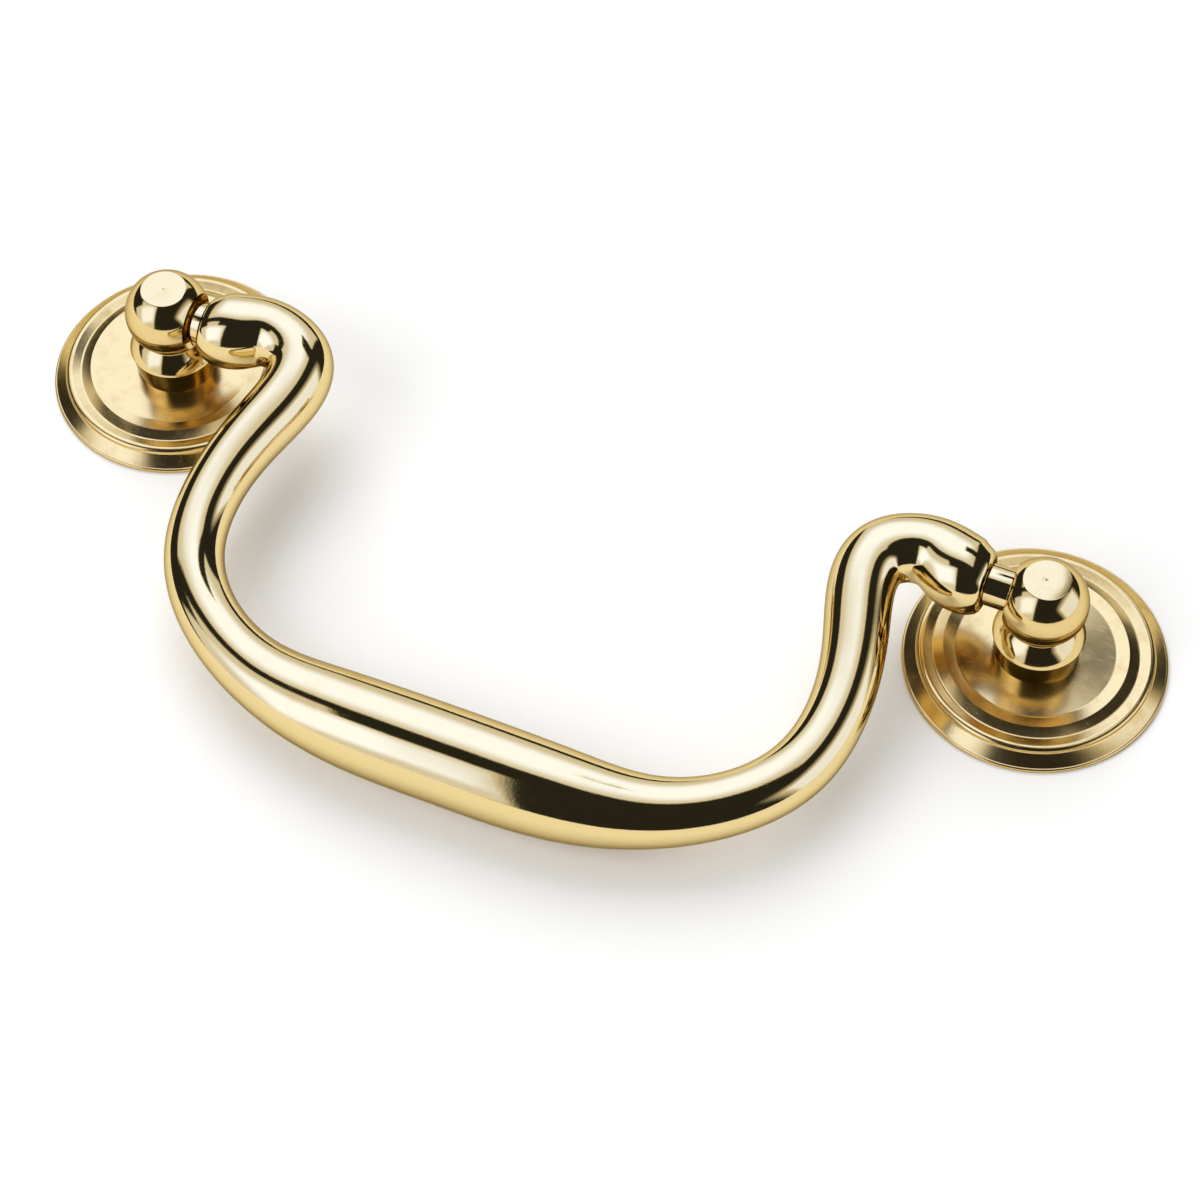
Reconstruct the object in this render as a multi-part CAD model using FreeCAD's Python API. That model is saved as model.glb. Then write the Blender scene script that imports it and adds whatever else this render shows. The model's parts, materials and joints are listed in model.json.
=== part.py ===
import FreeCAD
import Part
import math
import os

# Swan-neck bail pull. The origin lies midway between the two posts, on the drawer front's face.
# +X runs from the left post to the right post, +Z stands out of the drawer front, and the bail lies towards -Y.
# Sizes are in millimetres.

# Fixing
POST_CENTRES = 96.0
SCREW_HOLE_RADIUS = 1.65  # tapping size of an M4 machine screw
HOLE_WALL = 0.8  # metal left between the screw hole's tip and the pin hole
DRILL_HALF_ANGLE = 59.0  # degrees

# Ball-headed post
PIVOT_HEIGHT = 10.3  # centre of the ball above the drawer front
BALL_RADIUS = 4.45
CROWN_FLAT_RADIUS = 2.35
NECK_DEPTH = 1.25  # how far the groove under the ball is cut in from the ball's radius
NECK_LENGTH = 0.2
BELL_RADIUS = 4.65  # at the bell's lower edge
BELL_SWELL = 0.12  # how far the bell's side stands out of a straight cone
FOOT_STEP = 0.1  # ledge between the bell's lower edge and the foot
FOOT_LENGTH = 2.95
FOOT_TAPER = 0.3  # how much smaller the foot is where it meets the rose
SPIGOT_RADIUS = 3.0
SPIGOT_CHAMFER = 0.3

# Pivot
PIN_RADIUS = 2.15
PIN_CLEARANCE = 0.08  # radial
PIN_CHAMFER = 0.4
PIN_END_GAP = 1.0  # end gap of each pin in its hole while the bail is central
PIN_HOLE_PAST_AXIS = 0.8  # how far the hole's full width reaches past the post's axis
PIN_HOLE_CHAMFER = 0.8

# Pressed rose
ROSE_RADIUS = 13.3
SHEET = 0.7
SPIGOT_CLEARANCE = 0.1  # radial, between the spigot and the rose's hole
SEAT_RADIUS = 4.4  # flat middle that the post stands on
DISC_HEIGHT = 2.1
DISC_FALL = 0.22  # from the seat to the disc's edge
RING_WIDTH = 1.25
RING_RISE = 0.2
VALLEY_WIDTH = 1.05
VALLEY_DROP = 0.48
BEAD_SLOPE_WIDTH = 0.85
BEAD_SLOPE_RISE = 0.29
BEAD_ROUND_WIDTH = 0.7
BEAD_ROUND_DROP = 0.2
STEP_WIDTH = 0.05
STEP_DROP = 0.34
FLANGE_WIDTH = 1.2
RIM_HEIGHT = 0.5
RIM_ROUND = 0.2

# Bail. Insets run inwards from a post's axis, drops and rises along the bail's own plane.
BAIL_DROP = 35.7  # pivot axis to the middle of the grip
BAIL_SLIDE = 0.5  # the bail lies this far to the left, within its end play
END_INSET = 5.2
END_RADIUS = 3.0
BULGE_INSET = 7.4
BULGE_RISE = 0.1
BULGE_RADIUS = 3.95
HUMP_INSET = 11.3
HUMP_RISE = 1.3
HUMP_RADIUS = 3.65
NECK_INSET = 16.0
NECK_DROP = 0.5
NECK_BEND_RADIUS = 3.45
SIDE_INSET = 15.6
SIDE_DROP = 9.0
SIDE_RADIUS = 3.25
WAIST_INSET = 14.2
WAIST_RADIUS = 3.05
SHOULDER_INSET = 15.35
SHOULDER_RISE = 11.35  # above the middle of the grip
SHOULDER_RADIUS = 3.05
GRIP_END_INSET = 26.4
GRIP_END_RISE = 1.85  # above the middle of the grip
GRIP_END_RADIUS = 3.5
GRIP_RADIUS = 4.88
SECTION_PITCH = 3.5  # about how far apart the bail's lofted sections lie

X_AXIS = FreeCAD.Vector(1, 0, 0)
Z_AXIS = FreeCAD.Vector(0, 0, 1)
ORIGIN = FreeCAD.Vector(0, 0, 0)


def line(start, end):
    """A straight edge between two (radius, height) points."""
    return Part.LineSegment(profile_point(start), profile_point(end)).toShape()


def arc(start, middle, end):
    """A round edge through three (radius, height) points."""
    return Part.Arc(profile_point(start), profile_point(middle), profile_point(end)).toShape()


def profile_point(point):
    """A (radius, height) pair as a point of the turning plane."""
    return FreeCAD.Vector(point[0], 0, point[1])


def turned(edges):
    """The solid of a closed profile turned about the Z axis."""
    return Part.Face(Part.Wire(edges)).revolve(ORIGIN, Z_AXIS, 360)


def drilled(radius, depth):
    """The space of a drilled hole that runs from the origin along +Z to its full-width depth, with its drill tip."""
    tip = radius / math.tan(math.radians(DRILL_HALF_ANGLE))
    return Part.makeCylinder(radius, depth).fuse(
        Part.makeCone(radius, 0, tip, FreeCAD.Vector(0, 0, depth))
    )


def swollen_arc(start, end, swell):
    """A round edge whose middle stands to the right of the straight way from start to end by the swell."""
    heading = math.atan2(end[1] - start[1], end[0] - start[0])
    middle = (
        (start[0] + end[0]) / 2 + swell * math.sin(heading),
        (start[1] + end[1]) / 2 - swell * math.cos(heading),
    )
    return arc(start, middle, end)


def smooth_arc(before, start, end):
    """A round edge that goes on smoothly from the line between the first two points and ends at the third."""
    heading = math.atan2(start[1] - before[1], start[0] - before[0])
    chord = math.atan2(end[1] - start[1], end[0] - start[0])
    half_length = math.hypot(end[0] - start[0], end[1] - start[1]) / 2
    return swollen_arc(start, end, -half_length * math.tan((heading - chord) / 2))


def post_blank():
    """The turned post, before its holes are drilled."""
    neck_radius = BALL_RADIUS - NECK_DEPTH
    ball_foot = PIVOT_HEIGHT - math.sqrt(BALL_RADIUS ** 2 - neck_radius ** 2)
    bell_top = (neck_radius, ball_foot - NECK_LENGTH)
    bell_edge = (BELL_RADIUS, DISC_HEIGHT + FOOT_LENGTH)
    foot_top = (BELL_RADIUS - FOOT_STEP, bell_edge[1])
    foot_base = (foot_top[0] - FOOT_TAPER, DISC_HEIGHT)
    crown = PIVOT_HEIGHT + math.sqrt(BALL_RADIUS ** 2 - CROWN_FLAT_RADIUS ** 2)
    return turned([
        line((0, 0), (SPIGOT_RADIUS - SPIGOT_CHAMFER, 0)),
        line((SPIGOT_RADIUS - SPIGOT_CHAMFER, 0), (SPIGOT_RADIUS, SPIGOT_CHAMFER)),
        line((SPIGOT_RADIUS, SPIGOT_CHAMFER), (SPIGOT_RADIUS, DISC_HEIGHT)),
        line((SPIGOT_RADIUS, DISC_HEIGHT), foot_base),
        line(foot_base, foot_top),
        line(foot_top, bell_edge),
        swollen_arc(bell_edge, bell_top, BELL_SWELL),
        line(bell_top, (neck_radius, ball_foot)),
        arc((neck_radius, ball_foot), (BALL_RADIUS, PIVOT_HEIGHT), (CROWN_FLAT_RADIUS, crown)),
        line((CROWN_FLAT_RADIUS, crown), (0, crown)),
        line((0, crown), (0, 0)),
    ])


def pin_hole():
    """The space of the blind cross hole of a post at the origin, open towards +X, with its chamfered mouth."""
    radius = PIN_RADIUS + PIN_CLEARANCE
    hole = drilled(radius, BALL_RADIUS + PIN_HOLE_PAST_AXIS)
    mouth_radius = radius + PIN_HOLE_CHAMFER
    mouth_depth = BALL_RADIUS - math.sqrt(BALL_RADIUS ** 2 - mouth_radius ** 2)
    mouth = Part.makeCylinder(mouth_radius, mouth_depth)
    chamfer = Part.makeCone(mouth_radius, radius, PIN_HOLE_CHAMFER, FreeCAD.Vector(0, 0, mouth_depth))
    cut = hole.fuse([mouth, chamfer])
    cut.rotate(ORIGIN, FreeCAD.Vector(0, 1, 0), -90)
    cut.translate(FreeCAD.Vector(BALL_RADIUS, 0, PIVOT_HEIGHT))
    return cut


def make_post():
    """A post at the origin, with its pin hole open towards +X and its tapped hole open at its base."""
    hole_radius = PIN_RADIUS + PIN_CLEARANCE
    tip = SCREW_HOLE_RADIUS / math.tan(math.radians(DRILL_HALF_ANGLE))
    screw_hole = drilled(SCREW_HOLE_RADIUS, PIVOT_HEIGHT - hole_radius - HOLE_WALL - tip)
    return post_blank().cut([pin_hole(), screw_hole])


def rose_face(lowered):
    """The edges of one face of the rose, from its hole to the top of its flange, lowered by the given height."""
    bead_outer = ROSE_RADIUS - RIM_ROUND - FLANGE_WIDTH - STEP_WIDTH
    bead_shoulder = bead_outer - BEAD_ROUND_WIDTH
    valley = bead_shoulder - BEAD_SLOPE_WIDTH
    ring = valley - VALLEY_WIDTH
    disc_edge_height = DISC_HEIGHT - DISC_FALL
    valley_height = disc_edge_height + RING_RISE - VALLEY_DROP
    shoulder_height = valley_height + BEAD_SLOPE_RISE
    bead_end_height = shoulder_height - BEAD_ROUND_DROP
    points = [
        (SPIGOT_RADIUS + SPIGOT_CLEARANCE, DISC_HEIGHT),
        (SEAT_RADIUS, DISC_HEIGHT),
        (ring - RING_WIDTH, disc_edge_height),
        (ring, disc_edge_height + RING_RISE),
        (valley, valley_height),
        (bead_shoulder, shoulder_height),
        (bead_outer, bead_end_height),
        (bead_outer + STEP_WIDTH, bead_end_height - STEP_DROP),
    ]
    points = [(radius, height - lowered) for radius, height in points]
    slopes = [line(start, end) for start, end in zip(points[:5], points[1:6])]
    return slopes + [smooth_arc(*points[4:7]), line(*points[6:8])], points[0], points[-1]


def make_rose():
    """A rose at the origin, pressed from sheet, hollow behind. Its flange runs out to a rim that lies flat."""
    upper, upper_hole, flange_top = rose_face(0)
    lower, lower_hole, flange_back = rose_face(SHEET)
    flange_foot = (ROSE_RADIUS - RIM_ROUND, RIM_HEIGHT)
    back_width = FLANGE_WIDTH * flange_back[1] / (flange_top[1] - RIM_HEIGHT)
    flange_back_foot = (flange_back[0] + back_width, 0)
    slant = RIM_ROUND * (1 - math.sqrt(0.5))
    rim_top = (ROSE_RADIUS, RIM_HEIGHT - RIM_ROUND)
    rim = [
        line(flange_top, flange_foot),
        arc(flange_foot, (ROSE_RADIUS - slant, RIM_HEIGHT - slant), rim_top),
        line(rim_top, (ROSE_RADIUS, 0)),
        line((ROSE_RADIUS, 0), flange_back_foot),
        line(flange_back_foot, flange_back),
    ]
    return turned(Part.__sortEdges__(upper + rim + lower + [line(lower_hole, upper_hole)]))


def bail_stations():
    """Points of the bail's guide line, from its left end to its right end: x, y in its plane, and section radius."""
    half = POST_CENTRES / 2
    shoulder_drop = BAIL_DROP - SHOULDER_RISE
    waist_drop = (SIDE_DROP + shoulder_drop) / 2
    right = [
        (GRIP_END_INSET, BAIL_DROP - GRIP_END_RISE, GRIP_END_RADIUS),
        (SHOULDER_INSET, shoulder_drop, SHOULDER_RADIUS),
        (WAIST_INSET, waist_drop, WAIST_RADIUS),
        (SIDE_INSET, SIDE_DROP, SIDE_RADIUS),
        (NECK_INSET, NECK_DROP, NECK_BEND_RADIUS),
        (HUMP_INSET, -HUMP_RISE, HUMP_RADIUS),
        (BULGE_INSET, -BULGE_RISE, BULGE_RADIUS),
        (END_INSET, 0, END_RADIUS),
    ]
    right = [(half - inset, -drop, radius) for inset, drop, radius in right]
    left = [(-x, y, radius) for x, y, radius in reversed(right)]
    return left + [(0, -BAIL_DROP, GRIP_RADIUS)] + right


def bail_section(place, heading):
    """A round section square to the heading: the place's third coordinate is the section's radius."""
    halves = [Part.makeCircle(place.z, ORIGIN, X_AXIS, start, start + 180) for start in (0, 180)]
    section = Part.Wire(halves)
    section.rotate(ORIGIN, Z_AXIS, math.degrees(heading))
    section.translate(FreeCAD.Vector(place.x, place.y, 0))
    return section


def section_parameters(guide):
    """Where the sections lie on the guide line: at each of its points, and evenly in between."""
    knots = guide.getKnots()
    parameters = []
    for start, end in zip(knots, knots[1:]):
        count = max(1, round((end - start) / SECTION_PITCH))
        parameters += [start + (end - start) * index / count for index in range(count)]
    return parameters + [knots[-1]]


def bail_body():
    """The swan-neck bar in its own plane, without its pins. Its end faces stand square to the pivot axis."""
    guide = Part.BSplineCurve()
    guide.interpolate([FreeCAD.Vector(*station) for station in bail_stations()])
    parameters = section_parameters(guide)
    slopes = [guide.tangent(parameter)[0] for parameter in parameters]
    headings = [math.atan2(slope.y, slope.x) for slope in slopes]
    headings[0] = 0
    headings[-1] = 0
    places = [guide.value(parameter) for parameter in parameters]
    sections = [bail_section(place, heading) for place, heading in zip(places, headings)]
    return Part.makeLoft(sections, True)


def bail_pin():
    """The right-hand spigot pin in the bail's plane, from inside the bar to its chamfered end."""
    root = POST_CENTRES / 2 - BULGE_INSET
    end = POST_CENTRES / 2 + PIN_HOLE_PAST_AXIS - PIN_END_GAP
    straight = end - PIN_CHAMFER - root
    pin = Part.makeCylinder(PIN_RADIUS, straight, FreeCAD.Vector(root, 0, 0), X_AXIS)
    tip_start = FreeCAD.Vector(root + straight, 0, 0)
    return pin.fuse(Part.makeCone(PIN_RADIUS, PIN_RADIUS - PIN_CHAMFER, PIN_CHAMFER, tip_start, X_AXIS))


def make_bail():
    """The bail where it lies: its pins on the pivot axis and the middle of its grip on the drawer front."""
    right_pin = bail_pin()
    left_pin = right_pin.mirror(ORIGIN, X_AXIS)
    bail = bail_body().fuse([right_pin, left_pin]).removeSplitter()
    rest_tilt = math.asin((PIVOT_HEIGHT - GRIP_RADIUS) / BAIL_DROP)
    bail.rotate(ORIGIN, X_AXIS, math.degrees(rest_tilt))
    bail.translate(FreeCAD.Vector(-BAIL_SLIDE, 0, PIVOT_HEIGHT))
    return bail


def placed(shape, x, turn):
    """A copy of a shape turned about the Z axis and moved along X."""
    copy = shape.copy()
    copy.rotate(ORIGIN, Z_AXIS, turn)
    copy.translate(FreeCAD.Vector(x, 0, 0))
    return copy


def main():
    os.makedirs("parts", exist_ok=True)
    post = make_post()
    rose = make_rose()
    half = POST_CENTRES / 2
    nodes = {
        "bail": make_bail(),
        "left_post": placed(post, -half, 0),
        "right_post": placed(post, half, 180),
        "left_rose": placed(rose, -half, 0),
        "right_rose": placed(rose, half, 0),
    }
    for name, shape in nodes.items():
        shape.exportStep(f"parts/{name}.step")


main()
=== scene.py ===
import json
import math

import bpy
import numpy as np
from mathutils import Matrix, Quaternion, Vector

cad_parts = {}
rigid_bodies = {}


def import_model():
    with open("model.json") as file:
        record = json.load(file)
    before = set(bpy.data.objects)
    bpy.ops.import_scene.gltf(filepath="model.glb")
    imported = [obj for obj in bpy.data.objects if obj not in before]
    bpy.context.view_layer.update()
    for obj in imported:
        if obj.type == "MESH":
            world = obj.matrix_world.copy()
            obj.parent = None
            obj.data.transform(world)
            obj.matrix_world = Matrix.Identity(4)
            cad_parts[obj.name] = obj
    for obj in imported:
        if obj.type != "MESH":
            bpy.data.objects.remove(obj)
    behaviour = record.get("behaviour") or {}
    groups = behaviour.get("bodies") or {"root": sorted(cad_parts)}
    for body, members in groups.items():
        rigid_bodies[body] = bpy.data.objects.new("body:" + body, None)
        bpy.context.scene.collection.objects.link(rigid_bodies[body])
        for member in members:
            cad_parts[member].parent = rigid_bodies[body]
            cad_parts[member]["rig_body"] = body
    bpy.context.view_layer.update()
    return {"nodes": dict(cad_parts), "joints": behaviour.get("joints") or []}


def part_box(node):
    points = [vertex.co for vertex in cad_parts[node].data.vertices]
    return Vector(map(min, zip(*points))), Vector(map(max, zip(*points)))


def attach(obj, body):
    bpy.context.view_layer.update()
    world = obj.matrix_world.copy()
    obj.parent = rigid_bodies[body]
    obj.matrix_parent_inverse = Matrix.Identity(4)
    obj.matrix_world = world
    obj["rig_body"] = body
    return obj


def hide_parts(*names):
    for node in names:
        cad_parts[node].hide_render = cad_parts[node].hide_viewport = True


bl_info = {
    "name": "Swan-neck bail pull",
    "version": (1, 0, 0),
    "blender": (4, 5, 0),
    "location": "View3D > Sidebar > Bail pull",
    "description": "Models a polished brass bail pull around its packed solids, on a pale studio floor",
    "category": "Add Mesh",
}

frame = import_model()
MM = 0.001
UP = Vector((0, 0, 1))
PHOTO_SENSOR = 36.0  # millimetres, across the square picture

# Places that the frame fixes
PIVOT_HEIGHT = frame["joints"][0]["pos_m"][2]
LEFT_POST = sum(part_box("left_post"), Vector()) / 2
RIGHT_POST = sum(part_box("right_post"), Vector()) / 2
BAIL_MIDDLE = sum(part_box("bail"), Vector()) / 2
ROSE_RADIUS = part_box("left_rose")[1].y
CROWN_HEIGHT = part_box("left_post")[1].z

# Fineness of the meshes
TURNING_STEPS = 128
ARC_STEP = math.radians(6)
CORNER_TURN = math.radians(8)
CORNER_SEGMENTS = 5
BAIL_RING_PITCH = 0.45 * MM
BAIL_SPAN_STEPS = 30
BAIL_RING_RESOLUTION = 34
PIN_CHAMFER_SEGMENTS = 2
QUAD_CORNERS = 4
SMOOTH_ANGLE = math.radians(32)
WELD = 0.0005 * MM

# Drilled and tapped holes
DRILL_POINT = math.radians(59)  # between a drill's axis and its cutting edge
CUTTER_OVERSHOOT = MM
UNTHREADED_TURNS = 2
THREAD_FLAT = 0.06  # half the flat at the thread's root, as a share of its pitch
THREAD_MOUTH = 0.44  # half the thread's width where it meets the hole, as a share of its pitch

# Marks in the brass
END_FACE_MARGIN = 0.02 * MM
RAW_SHADED_CHAMFER = 0.45  # share of the cross hole's chamfer that the polish did not reach, which also gets the hole's painted shade
TARNISH_DETAIL = 4.0
TARNISH_GRAIN = 0.62
CLEAN_SHARE = 0.55  # share of the places for a pit that stay without one
PIT_ROUGHNESS = 0.3
SCRATCH_ROUGHNESS = 0.06
SCRATCH_HEADINGS = (20, 75, 140)  # degrees
SCRATCH_TILT = (0.5, 0.3)
SCRATCH_STRETCH = (1, 22, 22)
SCRATCH_LEVELS = (0.69, 0.76)  # of the noise, from clean metal to a full scratch

# Studio
WHITE = (1, 1, 1, 1)
KEY_DIRECTION = (-0.33, 0.57, 0.75)
KEY_SIZE = 1.9
FILL_DIRECTION = (-0.5, -0.6, 0.6)
FILL_SIZE = 1.7
LAMP_DISTANCE = 2.0
COOL_LEVELS = (0.7, 1.0)  # of a window's light, from neutral to cool
TENT_SEGMENTS = 64
TENT_RINGS = 32
FLOOR_VERTICES = 96
FLOOR_DROP = 0.02 * MM
FLOOR_ROUGHNESS = 0.9
CLIP_START = 0.01


def length(name, description, millimetres):
    """A length property, with its default in millimetres."""
    return bpy.props.FloatProperty(
        name=name, description=description, default=millimetres * MM, min=0, precision=5, unit="LENGTH"
    )


def station(name, inset, drop, radius):
    """A property for one station of the bail, with its default in millimetres."""
    return bpy.props.FloatVectorProperty(
        name=name,
        description="Inset from the post's axis, drop below the pivot axis and radius of the bail's section",
        default=(inset * MM, drop * MM, radius * MM),
        precision=5,
        unit="LENGTH",
    )


def colour(name, description, red, green, blue):
    """A colour property."""
    return bpy.props.FloatVectorProperty(
        name=name, description=description, default=(red, green, blue), min=0, max=1, subtype="COLOR"
    )


def share(name, description, default):
    """A property from 0 to 1."""
    return bpy.props.FloatProperty(
        name=name, description=description, default=default, min=0, max=1, subtype="FACTOR"
    )


class BailSizes(bpy.types.PropertyGroup):
    """Sizes of the bail. Its stations run from an end face to the middle of the grip."""

    end: station("End face", 5.2, 0, 3.0)
    bulge: station("Bulge", 7.4, -0.1, 3.92)
    hump: station("Hump", 11.3, -1.3, 3.61)
    neck: station("Neck", 16.0, 0.5, 3.45)
    side: station("Side", 15.6, 9.0, 3.25)
    waist: station("Waist", 14.2, 16.675, 3.05)
    shoulder: station("Shoulder", 15.35, 24.35, 3.05)
    grip_end: station("Grip end", 26.4, 33.85, 3.5)
    grip_quarter: station("Quarter of the grip", 35.0, 35.45, 4.5)
    grip_middle: station("Middle of the grip", 48.0, 35.7, 4.88)
    end_rounding: length("End rounding", "Rounding of the end faces' edges", 0.5)
    pin_radius: length("Pin radius", "Radius of the pins on the pivot axis", 2.15)
    pin_length: length("Pin length", "How far the pins stand out of the end faces", 5.0)
    pin_chamfer: length("Pin chamfer", "Chamfer of the pins' ends", 0.4)


class PostSizes(bpy.types.PropertyGroup):
    """Sizes of the turned posts."""

    ball_radius: length("Ball radius", "Radius of the ball head", 4.45)
    neck_radius: length("Neck radius", "Radius of the groove under the ball", 3.2)
    neck_length: length("Neck length", "Length of the groove under the ball", 0.2)
    bell_radius: length("Bell radius", "Radius of the bell's lower edge", 4.65)
    bell_swell: length("Bell swell", "How far the bell's side stands out of a straight cone", 0.12)
    foot_step: length("Foot step", "Ledge between the bell's lower edge and the foot", 0.1)
    foot_radius: length("Foot radius", "Radius of the foot where it meets the rose", 4.25)
    foot_length: length("Foot length", "Height of the foot above the rose's seat", 2.95)
    spigot_radius: length("Spigot radius", "Radius of the spigot in the rose's hole", 3.0)
    spigot_chamfer: length("Spigot chamfer", "Chamfer of the spigot's end", 0.3)
    screw_hole_radius: length("Screw hole radius", "Radius of the tapped hole at the top of its thread", 1.65)
    screw_hole_depth: length("Screw hole depth", "Depth of the tapped hole, without its drill tip", 6.28)
    thread_pitch: length("Thread pitch", "Pitch of the tapped hole's thread", 0.7)
    thread_depth: length("Thread depth", "Depth of the tapped hole's thread", 0.36)
    pin_hole_radius: length("Pin hole radius", "Radius of the cross hole for the bail's pin", 2.23)
    pin_hole_chamfer: length("Pin hole chamfer", "Chamfer of the cross hole's mouth", 0.8)
    pin_hole_past_axis: length("Pin hole past the axis", "How far the hole reaches past the post's axis", 0.8)
    centre_dot_radius: length("Centre dot radius", "Radius of the lathe centre's mark in the crown", 0.14)
    centre_dot_depth: length("Centre dot depth", "Depth of the lathe centre's mark in the crown", 0.06)
    edge_rounding: length("Edge rounding", "Rounding of the turned edges", 0.07)


class RoseSizes(bpy.types.PropertyGroup):
    """Sizes of the pressed roses. Heights are of the upper face, above the drawer front."""

    sheet: length("Sheet", "Thickness of the pressed sheet", 0.7)
    hole_radius: length("Hole radius", "Radius of the hole for the post's spigot", 3.1)
    seat_radius: length("Seat radius", "Radius of the flat middle that the post stands on", 4.4)
    seat_height: length("Seat height", "Height of the flat middle", 2.1)
    disc_radius: length("Disc radius", "Radius of the disc", 8.0)
    disc_height: length("Disc height", "Height of the disc's edge", 1.88)
    ring_radius: length("Ring radius", "Radius of the raised ring's crest", 9.25)
    ring_height: length("Ring height", "Height of the raised ring's crest", 2.08)
    valley_radius: length("Valley radius", "Radius of the valley between ring and bead", 10.3)
    valley_height: length("Valley height", "Height of the valley", 1.6)
    shoulder_radius: length("Shoulder radius", "Radius where the bead's slope turns into its round", 11.15)
    shoulder_height: length("Shoulder height", "Height of the bead's shoulder", 1.89)
    bead_radius: length("Bead radius", "Outer radius of the bead", 11.85)
    bead_height: length("Bead height", "Height of the bead's outer edge", 1.69)
    flange_radius: length("Flange radius", "Radius where the flange starts", 11.9)
    flange_height: length("Flange height", "Height where the flange starts", 1.35)
    rim_height: length("Rim height", "Height of the rim", 0.5)
    rim_rounding: length("Rim rounding", "Rounding of the rim's edge", 0.2)
    edge_rounding: length("Edge rounding", "Rounding of the pressed edges", 0.13)


class BrassFinish(bpy.types.PropertyGroup):
    """Colours and polish of the brass."""

    cast_brass: colour("Cast brass", "Polished brass of the bail", 0.80, 0.625, 0.295)
    turned_brass: colour("Turned brass", "Polished brass of the posts", 0.77, 0.576, 0.246)
    pressed_brass: colour("Pressed brass", "Polished brass of the roses", 0.80, 0.565, 0.21)
    deep_brass: colour("Deep brass", "Warmer brass where the polish is older", 0.72, 0.47, 0.15)
    # Edge-on tint set darker than real brass has: painted shade, standing in for the darker floor that the
    # brass mirrors at grazing angles.
    grazing_shade_tint: colour("Grazing brass", "Tint of the brass where it is seen edge on", 0.46, 0.41, 0.32)
    # Very dark brown: the roughness is unpolished metal, and the darkness is painted shade inside the cross
    # holes and in the gaps at the bail's end faces.
    shaded_raw_brass: colour("Raw brass", "Dull brass in the cross holes and on the end faces", 0.20, 0.09, 0.035)
    bail_roughness: share("Bail roughness", "Roughness of the bail's polish", 0.06)
    post_roughness: share("Post roughness", "Roughness of the posts' polish", 0.08)
    rose_roughness: share("Rose roughness", "Roughness of the roses' polish", 0.18)
    raw_roughness: share("Raw roughness", "How much rougher the raw brass is than the polish", 0.35)


class StudioSettings(bpy.types.PropertyGroup):
    """Camera, floor and lights."""

    camera_place: bpy.props.FloatVectorProperty(
        name="Camera", description="Place of the camera", default=(0.0820, -0.1787, 0.2754), unit="LENGTH"
    )
    camera_aim: bpy.props.FloatVectorProperty(
        name="Aim", description="Point that it looks at", default=(0.00497, -0.00991, 0), unit="LENGTH"
    )
    camera_roll: bpy.props.FloatProperty(
        name="Roll", description="Turn of the camera about its line of sight", default=math.radians(-1.85),
        subtype="ANGLE",
    )
    lens: bpy.props.FloatProperty(name="Lens", description="Focal length in millimetres", default=98.06)
    floor_colour: colour("Floor", "Colour of the floor", 0.95, 0.95, 0.95)
    floor_radius: length("Floor radius", "Radius of the floor", 2400)
    tent_radius: length("Tent radius", "Radius of the dark tent that the brass mirrors", 2500)
    tent_cloth: share("Tent cloth", "Brightness of the tent's dark cloth", 0.024)
    window_light: bpy.props.FloatVectorProperty(
        name="Window light", description="Cool light in the middle of the tent's windows", subtype="COLOR",
        default=(1.24, 1.51, 2.64), min=0, soft_max=3,
    )
    ambient: share("Ambient light", "Strength of the even light from all round", 0.5)
    key_power: bpy.props.FloatProperty(
        name="Key power", description="Power of the soft key lamp, in watts", default=27, unit="POWER"
    )
    fill_power: bpy.props.FloatProperty(
        name="Fill power", description="Power of the soft fill lamp, in watts", default=20, unit="POWER"
    )


class BailPullSettings(bpy.types.PropertyGroup):
    """All sizes and finishes of the pull and its studio."""

    bail: bpy.props.PointerProperty(type=BailSizes)
    post: bpy.props.PointerProperty(type=PostSizes)
    rose: bpy.props.PointerProperty(type=RoseSizes)
    finish: bpy.props.PointerProperty(type=BrassFinish)
    studio: bpy.props.PointerProperty(type=StudioSettings)


# Modelling tools


def deselect():
    """Leaves edit mode and selects nothing."""
    if bpy.context.mode != "OBJECT":
        bpy.ops.object.mode_set(mode="OBJECT")
    bpy.ops.object.select_all(action="DESELECT")


def select_alone(piece):
    """Selects one piece alone and makes it the active one."""
    deselect()
    piece.select_set(True)
    bpy.context.view_layer.objects.active = piece


def edit(piece):
    """Selects one piece alone and opens it in edit mode."""
    select_alone(piece)
    bpy.ops.object.mode_set(mode="EDIT")
    bpy.ops.mesh.select_mode(type="VERT")


def select_where(piece, kind, chosen):
    """Selects the vertices or faces of a piece in edit mode that pass a test."""
    bpy.ops.mesh.select_mode(type=kind)
    bpy.ops.mesh.select_all(action="DESELECT")
    bpy.ops.object.mode_set(mode="OBJECT")
    elements = piece.data.vertices if kind == "VERT" else piece.data.polygons
    for element in elements:
        element.select = chosen(element)
    bpy.ops.object.mode_set(mode="EDIT")


def weld(piece):
    """Merges a piece's doubled vertices and turns its faces outwards."""
    edit(piece)
    bpy.ops.mesh.select_all(action="SELECT")
    bpy.ops.mesh.remove_doubles(threshold=WELD)
    bpy.ops.mesh.normals_make_consistent(inside=False)
    bpy.ops.object.mode_set(mode="OBJECT")


def polish(piece):
    """Shades a piece smooth up to its crisp edges."""
    select_alone(piece)
    bpy.ops.object.shade_smooth_by_angle(angle=SMOOTH_ANGLE)


def hand_over(piece, node, material):
    """Lets a finished piece stand for its CAD node."""
    piece.data.materials.clear()
    piece.data.materials.append(material)
    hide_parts(node)
    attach(piece, frame["nodes"][node]["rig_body"])


def copy_of(piece, name):
    """A copy of a piece with its own mesh, selected alone."""
    select_alone(piece)
    bpy.ops.object.duplicate()
    made = bpy.context.object
    made.name = name
    return made


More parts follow.
